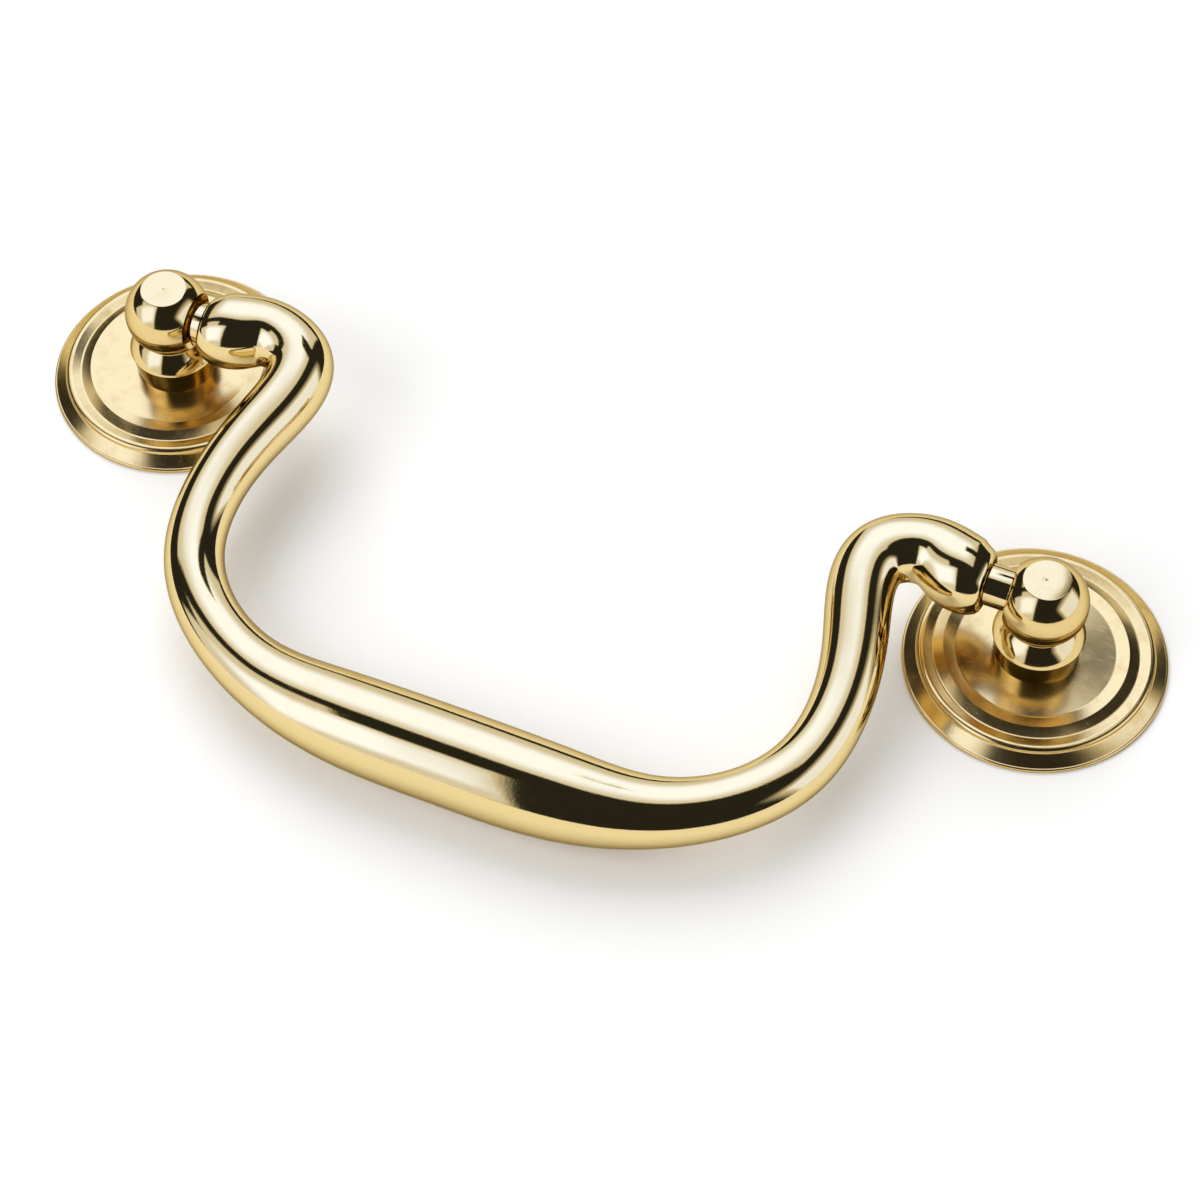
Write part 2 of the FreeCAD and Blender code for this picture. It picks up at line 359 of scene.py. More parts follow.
def arc_through(start, middle, end):
    """Points of the arc through three (radius, height) points, without its first point."""
    (ax, ay), (bx, by), (cx, cy) = start, middle, end
    twice = 2 * (ax * (by - cy) + bx * (cy - ay) + cx * (ay - by))
    a, b, c = ax ** 2 + ay ** 2, bx ** 2 + by ** 2, cx ** 2 + cy ** 2
    x = (a * (by - cy) + b * (cy - ay) + c * (ay - by)) / twice
    y = (a * (cx - bx) + b * (ax - cx) + c * (bx - ax)) / twice
    radius = math.hypot(ax - x, ay - y)
    first = math.atan2(ay - y, ax - x)
    full = 2 * math.pi
    to_middle = (math.atan2(by - y, bx - x) - first) % full
    to_end = (math.atan2(cy - y, cx - x) - first) % full
    sweep = to_end if to_middle < to_end else to_end - full
    count = max(2, math.ceil(abs(sweep) / ARC_STEP))
    angles = [first + sweep * step / count for step in range(1, count + 1)]
    return [(x + radius * math.cos(angle), y + radius * math.sin(angle)) for angle in angles]


def swollen_arc(start, end, swell):
    """Points of an arc whose middle stands a swell to the right of its chord, without its first point."""
    heading = math.atan2(end[1] - start[1], end[0] - start[0])
    middle = (
        (start[0] + end[0]) / 2 + swell * math.sin(heading),
        (start[1] + end[1]) / 2 - swell * math.cos(heading),
    )
    return arc_through(start, middle, end)


def smooth_arc(before, start, end):
    """Points of an arc that goes on smoothly from the line between two points, without its first point."""
    heading = math.atan2(start[1] - before[1], start[0] - before[0])
    chord = math.atan2(end[1] - start[1], end[0] - start[0])
    half_length = math.hypot(end[0] - start[0], end[1] - start[1]) / 2
    return swollen_arc(start, end, -half_length * math.tan((heading - chord) / 2))


def corners_of(points):
    """The places in an outline where it turns sharply."""
    found = []
    for index in range(1, len(points) - 1):
        before = Vector(points[index]) - Vector(points[index - 1])
        after = Vector(points[index + 1]) - Vector(points[index])
        if before.angle(after) > CORNER_TURN:
            found.append(index)
    return found


def draw_outline(name, points):
    """A chain of edges through points in space, drawn by pulling one vertex along them."""
    deselect()
    bpy.ops.mesh.primitive_plane_add(size=MM, location=points[0])
    outline = bpy.context.object
    outline.name = name
    bpy.ops.object.transform_apply(location=True, rotation=False, scale=False)
    edit(outline)
    bpy.ops.mesh.select_all(action="SELECT")
    bpy.ops.mesh.merge(type="CENTER")
    for before, after in zip(points, points[1:]):
        bpy.ops.mesh.extrude_vertices_move(TRANSFORM_OT_translate={"value": after - before})
    return outline


def turn(name, points, centre, axis, rounding):
    """A piece turned on a lathe: an outline with rounded corners, spun about an axis."""
    piece = draw_outline(name, points)
    if rounding:
        corners = set(corners_of(points))
        select_where(piece, "VERT", lambda vertex: vertex.index in corners)
        bpy.ops.mesh.bevel(offset=rounding, segments=CORNER_SEGMENTS, affect="VERTICES")
    bpy.ops.mesh.select_all(action="SELECT")
    bpy.ops.mesh.spin(steps=TURNING_STEPS, angle=2 * math.pi, center=centre, axis=axis)
    weld(piece)
    return piece


# Bail


def end_slope(places, points):
    """Slope at the first place of the cubic through four points, made level with the pivot axis."""
    slope = np.polyfit(places - places[0], points, 3)[-2]
    slope[1] = 0
    return slope


def spline_bends(places, points):
    """Second derivatives, at its points, of the smooth cubic spline through them."""
    spans = np.diff(places)
    slopes = np.diff(points, axis=0) / spans[:, None]
    slopes = np.vstack([
        end_slope(places[:4], points[:4]), slopes, end_slope(places[:-5:-1], points[:-5:-1])
    ])
    spans = np.concatenate([[0], spans, [0]])
    system = np.diag(2 * (spans[:-1] + spans[1:])) + np.diag(spans[1:-1], 1) + np.diag(spans[1:-1], -1)
    return np.linalg.solve(system, 6 * np.diff(slopes, axis=0))


def smooth_line(points, pitch):
    """Points about a pitch apart on the smooth cubic spline through the given points."""
    points = np.array(points)
    spans = np.linalg.norm(np.diff(points, axis=0), axis=1)
    bends = spline_bends(np.concatenate([[0], np.cumsum(spans)]), points)
    line = []
    for index, span in enumerate(spans):
        count = max(BAIL_SPAN_STEPS, round(span / pitch))
        for step in range(count):
            done = step / count
            left = 1 - done
            curved = bends[index] * (left ** 3 - left) + bends[index + 1] * (done ** 3 - done)
            line.append(points[index] * left + points[index + 1] * done + curved * span ** 2 / 6)
    return line + [points[-1]]


def bail_stations(sizes):
    """The bail's stations from its left end to its right end: x, drop below the pivot axis, and radius."""
    to_waist = (sizes.grip_quarter, sizes.grip_end, sizes.shoulder, sizes.waist)
    order = (*to_waist, sizes.side, sizes.neck, sizes.hump, sizes.bulge, sizes.end)
    right = [(RIGHT_POST.x - inset, drop, radius) for inset, drop, radius in order]
    left = [(-x, drop, radius) for x, drop, radius in reversed(right)]
    return left + [(0, *sizes.grip_middle[1:])] + right


def rounded_end(sizes, x):
    """How much the bail's section shrinks near its end faces to round their edges."""
    inside = RIGHT_POST.x - sizes.end[0] - abs(x)
    if inside > sizes.end_rounding:
        return 0
    return sizes.end_rounding - math.sqrt(sizes.end_rounding ** 2 - (sizes.end_rounding - inside) ** 2)


def sweep_bail(sizes):
    """The swan-neck bar where it lies: a round section that swells along a smooth line."""
    line = smooth_line(bail_stations(sizes), BAIL_RING_PITCH)
    tilt = math.asin((PIVOT_HEIGHT - sizes.grip_middle[2]) / sizes.grip_middle[1])
    deselect()
    bpy.ops.curve.primitive_bezier_curve_add()
    bar = bpy.context.object
    bar.name = "swan_neck_bail"
    curve = bar.data
    curve.splines.clear()
    spline = curve.splines.new("POLY")
    spline.points.add(len(line) - 1)
    for point, (x, drop, radius) in zip(spline.points, line):
        height = PIVOT_HEIGHT - drop * math.sin(tilt)
        point.co = (BAIL_MIDDLE.x + x, -drop * math.cos(tilt), height, 1)
        point.radius = radius - rounded_end(sizes, x)
    curve.dimensions = "3D"
    curve.twist_mode = "Z_UP"
    curve.bevel_depth = 1
    curve.bevel_resolution = BAIL_RING_RESOLUTION
    bpy.ops.object.convert(target="MESH")
    weld(bar)
    edit(bar)
    bpy.ops.mesh.select_all(action="SELECT")
    bpy.ops.mesh.fill_holes(sides=0)
    return bar


def is_cap(face):
    """Whether a face closes an end of the bail: the others have four corners at most."""
    return len(face.vertices) > QUAD_CORNERS


def square_ends(bar, sizes):
    """Flattens the bail's end faces square to the pivot axis."""
    edit(bar)
    for side in (-1, 1):
        select_where(bar, "FACE", lambda face: is_cap(face) and face.center.x * side > 0)
        face_x = BAIL_MIDDLE.x + side * (RIGHT_POST.x - sizes.end[0])
        bpy.ops.transform.resize(value=(0, 1, 1), center_override=(face_x, 0, PIVOT_HEIGHT))


def pull_pins(bar, sizes):
    """Pulls a chamfered pin out of each end face."""
    select_where(bar, "FACE", is_cap)
    bpy.ops.mesh.inset(thickness=sizes.end[2] - sizes.end_rounding - sizes.pin_radius)
    bpy.ops.mesh.extrude_region_shrink_fatten(TRANSFORM_OT_shrink_fatten={"value": sizes.pin_length})
    select_where(bar, "FACE", is_cap)
    bpy.ops.mesh.select_mode(type="EDGE")
    bpy.ops.mesh.bevel(offset=sizes.pin_chamfer, segments=PIN_CHAMFER_SEGMENTS, affect="EDGES")


class BAILPULL_OT_bail(bpy.types.Operator):
    """Model the swan-neck bail with its two pins"""

    bl_idname = "bail_pull.bail"
    bl_label = "Bail"

    def execute(self, context):
        settings = context.scene.bail_pull
        bar = sweep_bail(settings.bail)
        square_ends(bar, settings.bail)
        pull_pins(bar, settings.bail)
        weld(bar)
        polish(bar)
        hand_over(bar, "bail", cast_brass(settings.finish, settings.bail))
        return {"FINISHED"}


# Posts


def threaded_hole(sizes):
    """Outline of the tapped hole, from its drill tip down to its mouth."""
    radius = sizes.screw_hole_radius
    root = radius + sizes.thread_depth
    pitch = sizes.thread_pitch
    tip = radius / math.tan(DRILL_POINT)
    outline = [(0, sizes.screw_hole_depth + tip), (radius, sizes.screw_hole_depth)]
    turns = int(sizes.screw_hole_depth / pitch) - UNTHREADED_TURNS
    for index in range(turns, 0, -1):
        middle = index * pitch
        outline += [
            (radius, middle + THREAD_MOUTH * pitch),
            (root, middle + THREAD_FLAT * pitch),
            (root, middle - THREAD_FLAT * pitch),
            (radius, middle - THREAD_MOUTH * pitch),
        ]
    return outline + [(radius, 0)]


def post_outline(sizes, seat_height):
    """Outline of a post, as radius and height, from its tapped hole round to the middle of its crown."""
    ball = sizes.ball_radius
    ball_foot = PIVOT_HEIGHT - math.sqrt(ball ** 2 - sizes.neck_radius ** 2)
    bell_edge = (sizes.bell_radius, seat_height + sizes.foot_length)
    crown_radius = math.sqrt(ball ** 2 - (CROWN_HEIGHT - PIVOT_HEIGHT) ** 2)
    outline = threaded_hole(sizes)
    outline += [
        (sizes.spigot_radius - sizes.spigot_chamfer, 0),
        (sizes.spigot_radius, sizes.spigot_chamfer),
        (sizes.spigot_radius, seat_height),
        (sizes.foot_radius, seat_height),
        (sizes.bell_radius - sizes.foot_step, bell_edge[1]),
        bell_edge,
    ]
    outline += swollen_arc(bell_edge, (sizes.neck_radius, ball_foot - sizes.neck_length), sizes.bell_swell)
    outline.append((sizes.neck_radius, ball_foot))
    outline += arc_through(outline[-1], (ball, PIVOT_HEIGHT), (crown_radius, CROWN_HEIGHT))
    outline += [(sizes.centre_dot_radius, CROWN_HEIGHT), (0, CROWN_HEIGHT - sizes.centre_dot_depth)]
    return outline


def pin_hole_cutter(sizes):
    """The space of the left post's cross hole, with its chamfered mouth and drill tip."""
    ball = sizes.ball_radius
    mouth = sizes.pin_hole_radius + sizes.pin_hole_chamfer
    mouth_x = math.sqrt(ball ** 2 - mouth ** 2)
    outside = ball + CUTTER_OVERSHOOT
    tip = sizes.pin_hole_radius / math.tan(DRILL_POINT)
    outline = [
        (0, outside),
        (mouth, outside),
        (mouth, mouth_x),
        (sizes.pin_hole_radius, mouth_x - sizes.pin_hole_chamfer),
        (sizes.pin_hole_radius, -sizes.pin_hole_past_axis),
        (0, -sizes.pin_hole_past_axis - tip),
    ]
    points = [Vector((LEFT_POST.x + along, 0, PIVOT_HEIGHT + radius)) for radius, along in outline]
    return turn("pin_hole_cutter", points, (LEFT_POST.x, 0, PIVOT_HEIGHT), (1, 0, 0), 0)


def drill(piece, cutter):
    """Cuts a cutter's space out of a piece."""
    select_alone(piece)
    bpy.ops.object.modifier_add(type="BOOLEAN")
    cut = piece.modifiers[-1]
    cut.operation = "DIFFERENCE"
    cut.solver = "EXACT"
    cut.object = cutter
    bpy.ops.object.modifier_apply(modifier=cut.name)
    bpy.data.objects.remove(cutter)


class BAILPULL_OT_posts(bpy.types.Operator):
    """Turn the two ball-headed posts and drill their cross holes"""

    bl_idname = "bail_pull.posts"
    bl_label = "Posts"

    def execute(self, context):
        settings = context.scene.bail_pull
        outline = post_outline(settings.post, settings.rose.seat_height)
        points = [Vector((LEFT_POST.x + radius, 0, height)) for radius, height in outline]
        left = turn("turned_post_left", points, (LEFT_POST.x, 0, 0), UP, settings.post.edge_rounding)
        drill(left, pin_hole_cutter(settings.post))
        weld(left)
        polish(left)
        right = copy_of(left, "turned_post_right")
        bpy.ops.transform.rotate(value=math.pi, orient_axis="Z", center_override=(0, 0, 0))
        bpy.ops.object.transform_apply(location=True, rotation=True, scale=False)
        material = turned_brass(settings.finish, settings.post)
        hand_over(left, "left_post", material)
        hand_over(right, "right_post", material)
        return {"FINISHED"}


# Roses


def rose_face(sizes, lowered):
    """Outline of one face of a rose from its hole to the top of its flange, lowered by a thickness."""
    outline = [
        (sizes.hole_radius, sizes.seat_height),
        (sizes.seat_radius, sizes.seat_height),
        (sizes.disc_radius, sizes.disc_height),
        (sizes.ring_radius, sizes.ring_height),
        (sizes.valley_radius, sizes.valley_height),
        (sizes.shoulder_radius, sizes.shoulder_height),
    ]
    outline += smooth_arc(*outline[-2:], (sizes.bead_radius, sizes.bead_height))
    outline.append((sizes.flange_radius, sizes.flange_height))
    return [(radius, height - lowered) for radius, height in outline]


def rose_outline(sizes):
    """Closed outline of a rose, as radius and height: its face, its rounded rim, its back and its hole."""
    slant = sizes.rim_rounding * (1 - math.sqrt(0.5))
    flange_foot = ROSE_RADIUS - sizes.rim_rounding
    fall = (sizes.flange_height - sizes.rim_height) / (flange_foot - sizes.flange_radius)
    outline = rose_face(sizes, 0)
    outline.append((flange_foot, sizes.rim_height))
    outline += arc_through(
        outline[-1],
        (ROSE_RADIUS - slant, sizes.rim_height - slant),
        (ROSE_RADIUS, sizes.rim_height - sizes.rim_rounding),
    )
    outline.append((ROSE_RADIUS, 0))
    outline.append((sizes.flange_radius + (sizes.flange_height - sizes.sheet) / fall, 0))
    outline += reversed(rose_face(sizes, sizes.sheet))
    outline.append(outline[0])
    return outline


class BAILPULL_OT_roses(bpy.types.Operator):
    """Press the two stepped round roses"""

    bl_idname = "bail_pull.roses"
    bl_label = "Roses"

    def execute(self, context):
        settings = context.scene.bail_pull
        outline = rose_outline(settings.rose)
        points = [Vector((LEFT_POST.x + radius, 0, height)) for radius, height in outline]
        left = turn("pressed_rose_left", points, (LEFT_POST.x, 0, 0), UP, settings.rose.edge_rounding)
        polish(left)
        right = copy_of(left, "pressed_rose_right")
        bpy.ops.transform.translate(value=(RIGHT_POST.x - LEFT_POST.x, 0, 0))
        bpy.ops.object.transform_apply(location=True, rotation=False, scale=False)
        material = pressed_brass(settings.finish)
        hand_over(left, "left_rose", material)
        hand_over(right, "right_rose", material)
        return {"FINISHED"}


# Materials


def add(tree, kind, inputs=None, **settings):
    """Adds a node with its settings. Inputs are values, or sockets to link."""
    node = tree.nodes.new(kind)
    for name, value in settings.items():
        setattr(node, name, value)
    for name, value in (inputs or {}).items():
        if isinstance(value, bpy.types.NodeSocket):
            tree.links.new(value, node.inputs[name])
        else:
            node.inputs[name].default_value = value
    return node


def math_node(tree, operation, first, second=0.0, third=0.0):
    """The result of a sum on values or sockets."""
    return add(tree, "ShaderNodeMath", {0: first, 1: second, 2: third}, operation=operation).outputs[0]


def vector_node(tree, operation, first, second=(0, 0, 0)):
    """The result of a vector sum on values or sockets."""
    return add(tree, "ShaderNodeVectorMath", {0: first, 1: second}, operation=operation).outputs[0]


def new_group(name, inputs, outputs):
    """An empty shader group with named sockets, and its input and output sockets."""
    tree = bpy.data.node_groups.new(name, "ShaderNodeTree")
    for socket, kind in inputs.items():
        tree.interface.new_socket(socket, in_out="INPUT", socket_type=kind)
    for socket, kind in outputs.items():
        tree.interface.new_socket(socket, in_out="OUTPUT", socket_type=kind)
    return tree, tree.nodes.new("NodeGroupInput").outputs, tree.nodes.new("NodeGroupOutput").inputs


def distance(tree, across, along):
    """How far a place lies from an axis, from its two offsets."""
    squares = math_node(tree, "MULTIPLY_ADD", across, across, math_node(tree, "MULTIPLY", along, along))
    return math_node(tree, "SQRT", squares)


def noise(tree, vector, size, detail=2.0, roughness=0.5):
    """Smooth noise from 0 to 1, with features of about a size."""
    scale = math_node(tree, "DIVIDE", 1.0, size)
    inputs = {"Vector": vector, "Scale": scale, "Detail": detail, "Roughness": roughness}
    return add(tree, "ShaderNodeTexNoise", inputs).outputs[0]


def fade(tree, value, low, high):
    """A value faded smoothly from 0 at low to 1 at high."""
    inputs = {"Value": value, "From Min": low, "From Max": high}
    return add(tree, "ShaderNodeMapRange", inputs, interpolation_type="SMOOTHSTEP").outputs[0]


def ripple_group():
    """Uneven polish: long waves left by the buff and fine waves left by the casting or the sheet."""
    tree, given, made = new_group(
        "Uneven polish",
        {"Vector": "NodeSocketVector", "Long wave": "NodeSocketFloat", "Fine wave": "NodeSocketFloat"},
        {"Height": "NodeSocketFloat"},
    )
    long_waves = noise(tree, given["Vector"], given["Long wave"], 0.0)
    fine_waves = noise(tree, given["Vector"], given["Fine wave"], 1.0)
    ratio = math_node(tree, "DIVIDE", given["Fine wave"], given["Long wave"])
    height = math_node(tree, "MULTIPLY_ADD", fine_waves, ratio, long_waves)
    tree.links.new(height, made["Height"])
    return tree


def pits_group():
    """Small scattered pits in the polish."""
    tree, given, made = new_group(
        "Polish pits",
        {"Vector": "NodeSocketVector", "Spacing": "NodeSocketFloat", "Radius": "NodeSocketFloat"},
        {"Pits": "NodeSocketFloat"},
    )
    scale = math_node(tree, "DIVIDE", 1.0, given["Spacing"])
    cells = add(tree, "ShaderNodeTexVoronoi", {"Vector": given["Vector"], "Scale": scale})
    reach = math_node(tree, "DIVIDE", given["Radius"], given["Spacing"])
    near = math_node(tree, "SUBTRACT", 1.0, fade(tree, cells.outputs["Distance"], 0.0, reach))
    chance = add(tree, "ShaderNodeSeparateColor", {"Color": cells.outputs["Color"]}).outputs[0]
    kept = math_node(tree, "GREATER_THAN", chance, CLEAN_SHARE)
    tree.links.new(math_node(tree, "MULTIPLY", near, kept), made["Pits"])
    return tree


def scratches_group():
    """Hairline scratches that run in a few directions."""
    tree, given, made = new_group(
        "Hairline scratches",
        {"Vector": "NodeSocketVector", "Length": "NodeSocketFloat"},
        {"Scratches": "NodeSocketFloat"},
    )
    total = 0.0
    for heading in SCRATCH_HEADINGS:
        turned = (*SCRATCH_TILT, math.radians(heading))
        inputs = {"Vector": given["Vector"], "Rotation": turned, "Scale": SCRATCH_STRETCH}
        stretched = add(tree, "ShaderNodeMapping", inputs).outputs[0]
        lines = noise(tree, stretched, given["Length"], 1.0)
        total = math_node(tree, "MAXIMUM", total, fade(tree, lines, *SCRATCH_LEVELS))
    tree.links.new(total, made["Scratches"])
    return tree


def lathe_lines_group():
    """Fine rings about a post's axis, on either side of the pull."""
    tree, given, made = new_group(
        "Lathe lines",
        {"Vector": "NodeSocketVector", "Post centre": "NodeSocketFloat", "Pitch": "NodeSocketFloat"},
        {"Lines": "NodeSocketFloat"},
    )
    place = add(tree, "ShaderNodeSeparateXYZ", {"Vector": given["Vector"]}).outputs
    across = math_node(tree, "SUBTRACT", math_node(tree, "ABSOLUTE", place["X"]), given["Post centre"])
    along = math_node(tree, "ADD", distance(tree, across, place["Y"]), place["Z"])
    turns = math_node(tree, "DIVIDE", along, given["Pitch"])
    inputs = {"W": turns, "Scale": 1.0, "Detail": 2.0}
    lines = add(tree, "ShaderNodeTexNoise", inputs, noise_dimensions="1D").outputs[0]
    tree.links.new(lines, made["Lines"])
    return tree


def bore_group():
    """Where the metal lies inside a post's cross hole."""
    tree, given, made = new_group(
        "Bore",
        {
            "Vector": "NodeSocketVector",
            "Pivot height": "NodeSocketFloat",
            "Radius": "NodeSocketFloat",
            "Reach": "NodeSocketFloat",
        },
        {"Inside": "NodeSocketFloat"},
    )
    place = add(tree, "ShaderNodeSeparateXYZ", {"Vector": given["Vector"]}).outputs
    above = math_node(tree, "SUBTRACT", place["Z"], given["Pivot height"])
    near = math_node(tree, "LESS_THAN", distance(tree, above, place["Y"]), given["Radius"])
    inward = math_node(tree, "LESS_THAN", math_node(tree, "ABSOLUTE", place["X"]), given["Reach"])
    tree.links.new(math_node(tree, "MULTIPLY", near, inward), made["Inside"])
    return tree


def effect(tree, builder, name, inputs):
    """Places a shared effect in a material, and builds its group the first time."""
    group = bpy.data.node_groups.get(name) or builder()
    return add(tree, "ShaderNodeGroup", inputs, node_tree=group).outputs[0]


def blend(tree, factor, first, second):
    """A colour that goes from the first to the second with a factor."""
    inputs = {"Factor": factor, "A": first, "B": second}
    return add(tree, "ShaderNodeMix", inputs, data_type="RGBA").outputs["Result"]


def opaque(colour_property):
    """A colour property with full alpha."""
    return (*colour_property, 1)


class Brass:
    """A polished brass under construction: its material, and the sockets that its effects are added to."""

    def __init__(self, name, finish, clean_colour, roughness):
        self.material = bpy.data.materials.new(name)
        self.material.use_nodes = True
        self.tree = self.material.node_tree
        self.shader = self.tree.nodes["Principled BSDF"]
        self.shader.inputs["Metallic"].default_value = 1
        # The edge-on tint paints shade into the grazing reflections, for the darker floor that they mirror.
        self.shader.inputs["Specular Tint"].default_value = opaque(finish.grazing_shade_tint)
        self.finish = finish
        self.place = add(self.tree, "ShaderNodeTexCoord").outputs["Object"]
        self.colour = opaque(clean_colour)
        self.roughness = roughness
        self.height = 0.0

    def tarnish(self, patch, low, high, roughening):
        """Older polish in soft patches: warmer and duller."""
        haze = noise(self.tree, self.place, patch, TARNISH_DETAIL, TARNISH_GRAIN)
        older = fade(self.tree, haze, low, high)
        self.colour = blend(self.tree, older, self.colour, opaque(self.finish.deep_brass))
        self.roughness = math_node(self.tree, "MULTIPLY_ADD", older, roughening, self.roughness)

    def waves(self, long_wave, fine_wave, depth):
        """Uneven polish, with long and fine waves."""
        inputs = {"Vector": self.place, "Long wave": long_wave, "Fine wave": fine_wave}
        waves = effect(self.tree, ripple_group, "Uneven polish", inputs)
        self.height = math_node(self.tree, "MULTIPLY_ADD", waves, depth, self.height)

    def pits(self, spacing, radius, depth):
        """Small pits, with dull edges."""
        inputs = {"Vector": self.place, "Spacing": spacing, "Radius": radius}
        pits = effect(self.tree, pits_group, "Polish pits", inputs)
        self.height = math_node(self.tree, "MULTIPLY_ADD", pits, -depth, self.height)
        self.roughness = math_node(self.tree, "MULTIPLY_ADD", pits, PIT_ROUGHNESS, self.roughness)

    def scratches(self, length_along, depth):
        """Hairline scratches."""
        inputs = {"Vector": self.place, "Length": length_along}
        scratches = effect(self.tree, scratches_group, "Hairline scratches", inputs)
        self.height = math_node(self.tree, "MULTIPLY_ADD", scratches, -depth, self.height)
        self.roughness = math_node(self.tree, "MULTIPLY_ADD", scratches, SCRATCH_ROUGHNESS, self.roughness)

    def lathe_lines(self, pitch, depth):
        """Fine rings of the lathe or the buff about a post's axis."""
        inputs = {"Vector": self.place, "Post centre": RIGHT_POST.x, "Pitch": pitch}
        lines = effect(self.tree, lathe_lines_group, "Lathe lines", inputs)
        self.height = math_node(self.tree, "MULTIPLY_ADD", lines, depth, self.height)

    def dull_bore_with_shade(self, post):
        """Rougher, unpolished metal in the cross hole, with dark brown painted in as the hole's shade."""
        inputs = {
            "Vector": self.place,
            "Pivot height": PIVOT_HEIGHT,
            "Radius": post.pin_hole_radius + RAW_SHADED_CHAMFER * post.pin_hole_chamfer,
            "Reach": RIGHT_POST.x + post.ball_radius / 2,
        }
        self.leave_raw_with_shade(effect(self.tree, bore_group, "Bore", inputs))

    def dull_ends_with_shade(self, bail):
        """Rougher, unpolished metal on the bail's end faces round its pins, with dark brown painted in as the
        shade of the narrow gap to the posts.
        """
        place = add(self.tree, "ShaderNodeSeparateXYZ", {"Vector": self.place}).outputs
        end_face = RIGHT_POST.x - bail.end[0] - END_FACE_MARGIN
        from_middle = math_node(self.tree, "SUBTRACT", place["X"], BAIL_MIDDLE.x)
        from_middle = math_node(self.tree, "ABSOLUTE", from_middle)
        past_face = math_node(self.tree, "GREATER_THAN", from_middle, end_face)
        above = math_node(self.tree, "SUBTRACT", place["Z"], PIVOT_HEIGHT)
        off_pin = distance(self.tree, above, place["Y"])
        off_pin = math_node(self.tree, "GREATER_THAN", off_pin, bail.pin_radius + END_FACE_MARGIN)
        self.leave_raw_with_shade(math_node(self.tree, "MULTIPLY", past_face, off_pin))

    def leave_raw_with_shade(self, where):
        """Rougher metal where nothing was polished, in a dark brown that is painted shade."""
        rougher = self.finish.raw_roughness
        self.colour = blend(self.tree, where, self.colour, opaque(self.finish.shaded_raw_brass))
        self.roughness = math_node(self.tree, "MULTIPLY_ADD", where, rougher, self.roughness)

    def finished(self):
        """Links the effects to the shader. Heights are in metres."""
        self.tree.links.new(self.colour, self.shader.inputs["Base Color"])
        self.tree.links.new(self.roughness, self.shader.inputs["Roughness"])
        bump = add(self.tree, "ShaderNodeBump", {"Strength": 1.0, "Distance": 1.0, "Height": self.height})
        self.tree.links.new(bump.outputs["Normal"], self.shader.inputs["Normal"])
        return self.material


def cast_brass(finish, bail):
    """Brass of the bail: cast, filed and buffed, so its mirror wavers a little."""
    made = Brass("cast_brass", finish, finish.cast_brass, finish.bail_roughness)
    made.tarnish(patch=5 * MM, low=0.55, high=0.95, roughening=0.04)
    made.waves(long_wave=3.5 * MM, fine_wave=0.32 * MM, depth=0.018 * MM)
    made.pits(spacing=1.9 * MM, radius=0.07 * MM, depth=0.005 * MM)
    made.scratches(length_along=4 * MM, depth=0.0003 * MM)
    # Dark brown painted shade on the end faces, in the gap to the posts.
    made.dull_ends_with_shade(bail)
    return made.finished()


def turned_brass(finish, post):
    """Brass of the posts: turned from bar and polished on the lathe."""
    made = Brass("turned_brass", finish, finish.turned_brass, finish.post_roughness)
    made.tarnish(patch=3 * MM, low=0.5, high=0.85, roughening=0.08)
    made.waves(long_wave=3 * MM, fine_wave=0.3 * MM, depth=0.009 * MM)
    made.pits(spacing=1.5 * MM, radius=0.06 * MM, depth=0.004 * MM)
    made.lathe_lines(pitch=0.16 * MM, depth=0.0006 * MM)
    # Dark brown painted shade in the cross hole.
    made.dull_bore_with_shade(post)
    return made.finished()


def pressed_brass(finish):
    """Brass of the roses: pressed from sheet and spun against a buff, a little satin and stained."""
    made = Brass("pressed_brass", finish, finish.pressed_brass, finish.rose_roughness)
    made.tarnish(patch=2.2 * MM, low=0.46, high=0.80, roughening=0.10)
    made.waves(long_wave=2.5 * MM, fine_wave=0.25 * MM, depth=0.010 * MM)
    made.pits(spacing=0.9 * MM, radius=0.05 * MM, depth=0.004 * MM)
    made.scratches(length_along=3 * MM, depth=0.00015 * MM)
    made.lathe_lines(pitch=0.22 * MM, depth=0.0004 * MM)
    return made.finished()


# Studio


def soft_window_group():
    """A soft-edged window in the tent, on its chart: zenith in the middle, horizon at a radius of 1."""
    tree, given, made = new_group(
        "Soft window",
        {
            "Chart": "NodeSocketVector",
            "Centre": "NodeSocketVector",
            "Half size": "NodeSocketVector",
            "Softness": "NodeSocketFloat",
        },
        {"Light": "NodeSocketFloat"},
    )
    away = vector_node(tree, "ABSOLUTE", vector_node(tree, "SUBTRACT", given["Chart"], given["Centre"]))
    inside = vector_node(tree, "SUBTRACT", given["Half size"], away)
    depth = add(tree, "ShaderNodeSeparateXYZ", {"Vector": inside}).outputs
    across = fade(tree, depth["X"], 0.0, given["Softness"])
    along = fade(tree, depth["Y"], 0.0, given["Softness"])
    tree.links.new(math_node(tree, "MULTIPLY", across, along), made["Light"])
    return tree


def chart_position(tree):
    """Where a point of the tent lies on its chart."""
    place = add(tree, "ShaderNodeTexCoord").outputs["Object"]
    direction = vector_node(tree, "NORMALIZE", place)
    height = add(tree, "ShaderNodeSeparateXYZ", {"Vector": direction}).outputs["Z"]
    polar = math_node(tree, "DIVIDE", math_node(tree, "ARCCOSINE", height), math.pi / 2)
    heading = vector_node(tree, "NORMALIZE", vector_node(tree, "MULTIPLY", direction, (1, 1, 0)))
    return add(tree, "ShaderNodeVectorMath", {0: heading, "Scale": polar}, operation="SCALE").outputs[0]


